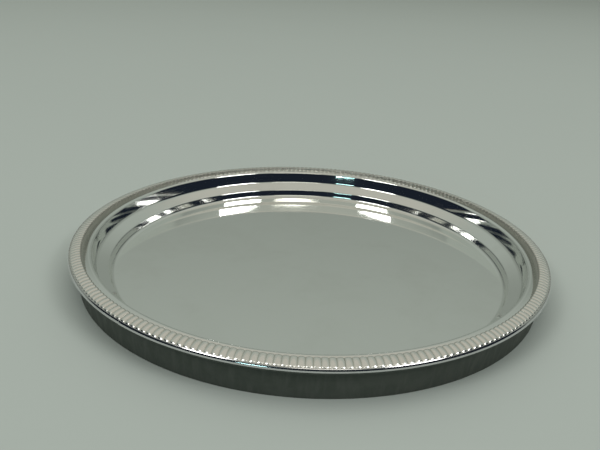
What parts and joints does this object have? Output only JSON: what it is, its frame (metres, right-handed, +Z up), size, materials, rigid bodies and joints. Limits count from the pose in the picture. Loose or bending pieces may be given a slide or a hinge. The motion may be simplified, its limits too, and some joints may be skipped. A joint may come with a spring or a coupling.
{
  "type": "round salver",
  "caption": "Round silver salver with a flat polished floor, a double-stepped side, a reeded rim and a dark upright band below the rim to stand on.",
  "frame": {"origin": "on the table, under the middle of the dish", "axes": "+Z up along the salver's axis; -Y towards the front, where the joint between two border sections lies a little to the left"},
  "size_m": [0.305, 0.305, 0.022],
  "materials": {
    "polished_silver": "mirror polished silver plate with fine hairline scratches",
    "border_silver": "bright silver plate with a warm tarnish in the grooves",
    "dull_band": "dark, dull, unpolished metal",
    "solder": "dull grey soft solder"
  },
  "bodies": {
    "root": {"dish": "polished_silver", "edge_wire": "border_silver", "side_band": "dull_band", "foot_wire": "dull_band", "border_section_1": "border_silver", "border_section_2": "border_silver", "border_section_3": "border_silver", "border_section_4": "border_silver", "border_section_5": "border_silver", "border_section_6": "border_silver", "border_section_7": "border_silver", "border_section_8": "border_silver", "section_filling_1": "solder", "section_filling_2": "solder", "section_filling_3": "solder", "section_filling_4": "solder", "section_filling_5": "solder", "section_filling_6": "solder", "section_filling_7": "solder", "section_filling_8": "solder"}
  },
  "joints": []
}
